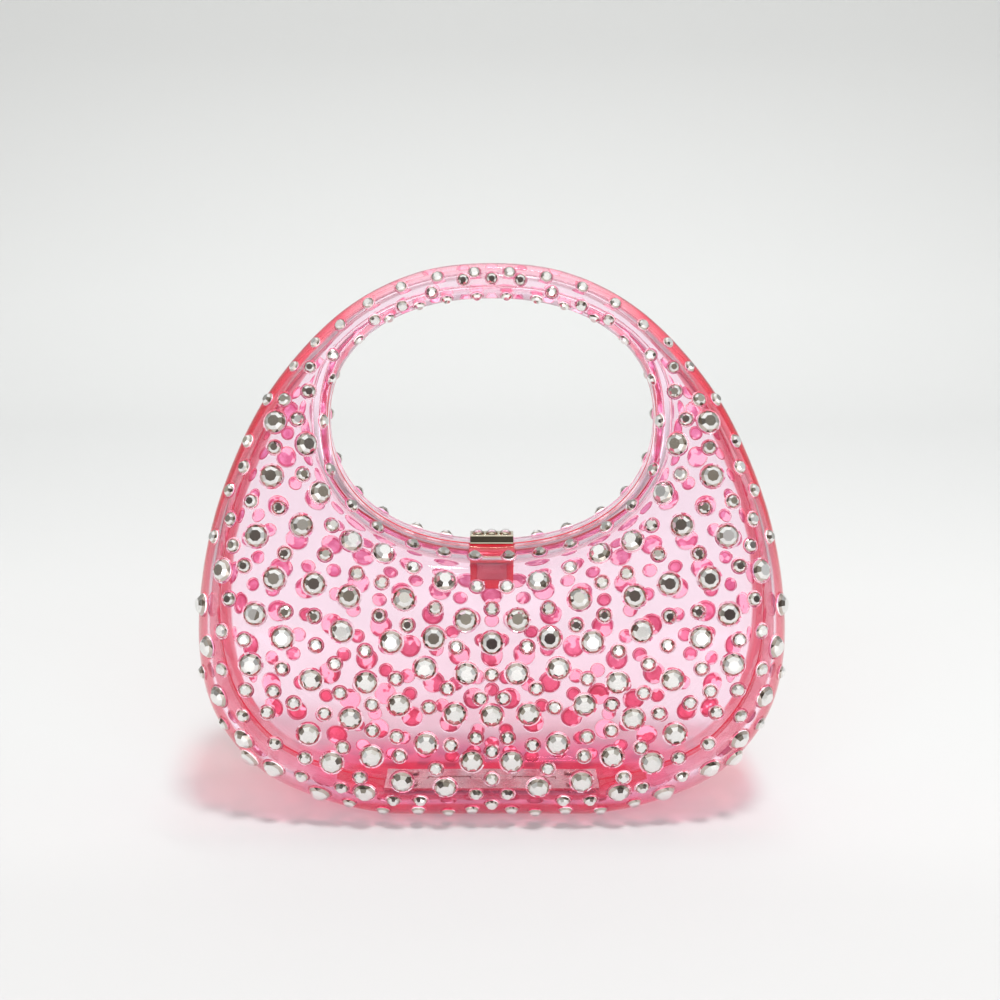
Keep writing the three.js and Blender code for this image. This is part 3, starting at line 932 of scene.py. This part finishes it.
def clasp_piece():
    """Bar with a sloping front and three set stones, on a neck that runs down to a plate behind the wall."""
    half = CLASP_WIDTH / 2
    lip_up = RIM_UP - WALL - GAP
    top = BAR_UP + BAR_THICK
    bar = [
        (BAR_FRONT, BAR_UP),
        (BAR_FRONT, BAR_UP + BAR_FOOT),
        (BAR_FRONT + BAR_LEDGE, BAR_UP + BAR_FOOT + BAR_LEDGE),
        (BAR_FRONT + BAR_LEDGE + BAR_SLOPE, top - BAR_BROW),
        (BAR_FRONT + BAR_LEDGE + BAR_SLOPE + BAR_BROW, top),
        (BAR_BACK - BAR_BROW, top),
        (BAR_BACK, top - BAR_BROW),
        (BAR_BACK, BAR_UP),
    ]
    neck = rectangle((BAR_FRONT, NECK_BACK), (lip_up - LIP_THICK, BAR_UP + GAP))
    lip = rectangle((LIP_FRONT, NECK_BACK), (lip_up - LIP_THICK, lip_up))
    plate = rectangle((BAR_FRONT, PLATE_BACK), (PLATE_UP, lip_up))
    tongue = rectangle((BAR_FRONT, PLATE_BACK), (TONGUE_UP, PLATE_UP + GAP))
    panel = rectangle((BAR_FRONT - PANEL_PROUD, BAR_FRONT), (PLATE_UP + PANEL_FOOT, lip_up - PANEL_HEAD))
    pieces = [
        soft_solid("clasp_catch", *along_x(bar, half), CLASP_METAL, BAR_BEVEL),
        soft_solid("neck", *along_x(neck, half), CLASP_RED, NECK_BEVEL),
        soft_solid("lip", *along_x(lip, half), CLASP_RED, PLATE_BEVEL),
        soft_solid("plate", *along_x(plate, half), CLASP_RED, PLATE_BEVEL),
        soft_solid("tongue", *along_x(tongue, TONGUE_WIDTH / 2), CLASP_RED, PLATE_BEVEL),
        soft_solid("panel", *along_x(panel, half - PANEL_SIDE), CLASP_ROSE, PANEL_BEVEL),
    ]
    for x in CLASP_STONE_PLACES:
        seat = (x, (BAR_FRONT + BAR_BACK) / 2, top)
        vertices, faces, marks = stone_arrays(**CLASP_STONE)
        pieces.append(new_object("clasp_stone", vertices + seat, faces, STONE_MATERIALS, marks))
        pieces.append(new_object("bezel", *ring_arrays(seat), [CLASP_METAL]))
    return join(pieces)


def ring_arrays(at):
    """A rounded setting round a clasp stone."""
    radius = CLASP_STONE["across"] / 2
    shoulder = BEZEL_SHOULDER * BEZEL_HEIGHT
    section = [
        (BEZEL_OUTER, -BEZEL_SINK),
        (BEZEL_OUTER, shoulder),
        (0.5 * (BEZEL_OUTER + BEZEL_INNER), BEZEL_HEIGHT),
        (BEZEL_INNER, shoulder),
        (BEZEL_INNER, -BEZEL_SINK),
    ]
    n = len(section)
    vertices, faces = [], []
    for i in range(BEZEL_SIDES):
        turn = i * 2 * np.pi / BEZEL_SIDES
        here, onward = i * n, (i + 1) % BEZEL_SIDES * n
        for k, (share, up) in enumerate(section):
            out = radius * share
            vertices.append((at[0] + out * math.cos(turn), at[1] + out * math.sin(turn), at[2] + up))
            faces.append((here + k, onward + k, onward + (k + 1) % n, here + (k + 1) % n))
    return np.array(vertices), faces


settle(clasp_piece(), "front_half", "clasp_metal", "clasp")

for name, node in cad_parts.items():
    if name.startswith(("hinge", "rivet")):
        node.data.materials.clear()
        node.data.materials.append(HINGE_METAL)
    elif name == "clasp_keeper":
        node.data.materials.clear()
        node.data.materials.append(CLASP_ROSE)


# Floor, light and camera

# How pale the floor is painted: metres behind the middle of the bag, then colour. It is painted light: paler
# far in front and far behind, where the lamps fall off, and paler again over the last 15 cm in front of the
# bag, where it lightens the bag's shadow.
PAINTED_FLOOR_LIGHT = (
    (-1.5, (0.92, 0.92, 0.918)),
    (-0.3, (0.55, 0.55, 0.549)),
    (-0.15, (0.465, 0.465, 0.464)),
    (-0.08, (0.48, 0.48, 0.479)),
    (-0.03, (0.515, 0.515, 0.514)),
    (0.285, (0.60, 0.605, 0.604)),
    (1.3, (0.76, 0.77, 0.77)),
)


def sweep():
    """A pale floor that curves up into a lighter backdrop far behind the bag. Its tone changes across it as
    painted light.
    """
    half_width, front_edge, bend_start, bend, top = 4.0, -4.0, 0.9, 0.9, 3.0
    turn = np.linspace(0, np.pi / 2, 25)
    profile = [(front_edge, 0.0)]
    profile += [(bend_start + bend * math.sin(a), bend * (1 - math.cos(a))) for a in turn]
    profile.append((bend_start + bend, top))
    vertices = np.array([(x, y, z) for x in (-half_width, half_width) for y, z in profile]) / MM
    n = len(profile)
    faces = [(k, n + k, n + k + 1, k + 1) for k in range(n - 1)]
    material, tree, shader = new_material("floor_pale")
    shader.inputs["Specular IOR Level"].default_value = 0.2
    near, far = PAINTED_FLOOR_LIGHT[0][0], PAINTED_FLOOR_LIGHT[-1][0]
    away = ranged(tree, add_axis(tree, "Y"), 0, 1, near, far)
    painted_floor_light = ramped(tree, away, [((y - near) / (far - near), colour) for y, colour in PAINTED_FLOOR_LIGHT])
    tree.links.new(painted_floor_light, shader.inputs["Base Color"])
    tree.links.new(ranged(tree, add_noise(tree, 3), 0.75, 0.85), shader.inputs["Roughness"])
    return new_object("floor", vertices, faces, [material], smooth=True)


sweep()


def studio_world():
    """White all round, a dim patchwork room in front for reflections, and a plain sky for the camera."""
    world = bpy.data.worlds.new("studio")
    world.use_nodes = True
    tree = world.node_tree
    background = tree.nodes["Background"]
    place = tree.nodes.new("ShaderNodeTexCoord")
    axes = tree.nodes.new("ShaderNodeSeparateXYZ")
    tree.links.new(place.outputs["Generated"], axes.inputs[0])
    in_front = tree.nodes.new("ShaderNodeMapRange")
    in_front.interpolation_type = "SMOOTHSTEP"
    in_front.inputs["From Min"].default_value = -0.15
    in_front.inputs["From Max"].default_value = -0.6
    tree.links.new(axes.outputs["Y"], in_front.inputs["Value"])
    upward = ramped(tree, axes.outputs["Z"], [
        (0.0, (0.12, 0.11, 0.11)),
        (0.4, (0.13, 0.12, 0.11)),
        (0.52, (0.46, 0.44, 0.37)),
        (0.68, (1.05, 1.03, 0.96)),
        (0.85, (1.4, 1.4, 1.37)),
    ])
    cells = tree.nodes.new("ShaderNodeTexVoronoi")
    cells.inputs["Scale"].default_value = 5.0
    tree.links.new(place.outputs["Generated"], cells.inputs["Vector"])
    cell_axes = tree.nodes.new("ShaderNodeSeparateXYZ")
    tree.links.new(cells.outputs["Color"], cell_axes.inputs[0])
    patches = ramped(tree, cell_axes.outputs["X"], [
        (0.0, (0.06, 0.055, 0.05)),
        (0.45, (0.16, 0.15, 0.13)),
        (0.7, (0.40, 0.37, 0.29)),
        (0.86, (0.62, 0.60, 0.54)),
        (0.92, (1.0, 1.0, 1.0)),
    ])
    room = mixed_colour(tree, ranged(tree, axes.outputs["Z"], 0.65, 0.0, 0.45, 0.7), upward, patches)
    around = ramped(tree, cell_axes.outputs["Y"], [
        (0.55, (0.92, 0.94, 0.95)),
        (0.6, (0.52, 0.49, 0.41)),
        (0.82, (0.52, 0.49, 0.41)),
        (0.86, (0.2, 0.18, 0.16)),
    ])
    overhead = ramped(tree, axes.outputs["Z"], [(0.65, (0.92, 0.94, 0.95)), (0.88, (1.4, 1.41, 1.41))])
    walls = mixed_colour(tree, ranged(tree, axes.outputs["Z"], 1.0, 0.0, 0.45, 0.75), overhead, around)
    shade = mixed_colour(tree, in_front.outputs[0], walls, room)
    tree.links.new(shade, background.inputs["Color"])
    background.inputs["Strength"].default_value = 0.73
    plain = tree.nodes.new("ShaderNodeBackground")
    # The sky the camera sees is painted darker towards the horizon to meet the dimmer far floor: painted
    # shade.
    aloft = ranged(tree, axes.outputs["Z"], 0.0, 1.0, -0.06, 0.25)
    paler = ramped(tree, aloft, [(0.0, (0.46, 0.46, 0.458)), (1.0, (0.86, 0.865, 0.86))])
    tree.links.new(paler, plain.inputs["Color"])
    path = tree.nodes.new("ShaderNodeLightPath")
    mix = tree.nodes.new("ShaderNodeMixShader")
    tree.links.new(path.outputs["Is Camera Ray"], mix.inputs[0])
    tree.links.new(background.outputs[0], mix.inputs[1])
    tree.links.new(plain.outputs[0], mix.inputs[2])
    tree.links.new(mix.outputs[0], tree.nodes["World Output"].inputs["Surface"])
    return world


bpy.context.scene.world = studio_world()


def softbox(name, at, look_at, size, power, mirrored):
    data = bpy.data.lights.new(name, "AREA")
    data.shape = "RECTANGLE"
    data.size, data.size_y = size
    data.energy = power
    lamp = bpy.data.objects.new(name, data)
    lamp.location = at
    lamp.rotation_euler = (Vector(look_at) - Vector(at)).to_track_quat("-Z", "Y").to_euler()
    lamp.visible_camera = False
    lamp.visible_glossy = mirrored
    lamp.visible_transmission = mirrored
    bpy.context.scene.collection.objects.link(lamp)


softbox("key_light", (0.16, -0.56, 1.3), (0, 0, 0), (0.22, 0.22), 15, mirrored=False)
softbox("front_fill", (0.0, -1.2, 0.5), (0, 0, 0.06), (1.8, 0.6), 18, mirrored=False)
softbox("back_fill", (0.0, 1.2, 1.0), (0, 0, 0.06), (1.4, 0.7), 3, mirrored=False)
softbox("glint_light", (0.12, 0.12, 1.3), (0, 0, 0.06), (0.36, 0.05), 1.6, mirrored=True)

CAMERA_AT = (0, -483.1, 196.5)
CAMERA_PITCH = 10.93
CAMERA_SENSOR = 36
CAMERA_LENS = 54
CAMERA_SHIFT = 0.0082
CAMERA_NEAREST = 0.01
view_data = bpy.data.cameras.new("camera")
view_data.sensor_width = CAMERA_SENSOR
view_data.lens = CAMERA_LENS
view_data.shift_x = CAMERA_SHIFT
view_data.clip_start = CAMERA_NEAREST
camera = bpy.data.objects.new("camera", view_data)
camera.location = [v * MM for v in CAMERA_AT]
camera.rotation_euler = (math.radians(90 - CAMERA_PITCH), 0, 0)
bpy.context.scene.collection.objects.link(camera)
bpy.context.scene.camera = camera

scene = bpy.context.scene
scene.view_settings.view_transform = "Standard"
scene.cycles.use_denoising = True
scene.cycles.max_bounces = 24
scene.cycles.transmission_bounces = 24
scene.cycles.glossy_bounces = 10
scene.cycles.transparent_max_bounces = 24
scene.cycles.caustics_refractive = False
scene.cycles.caustics_reflective = False
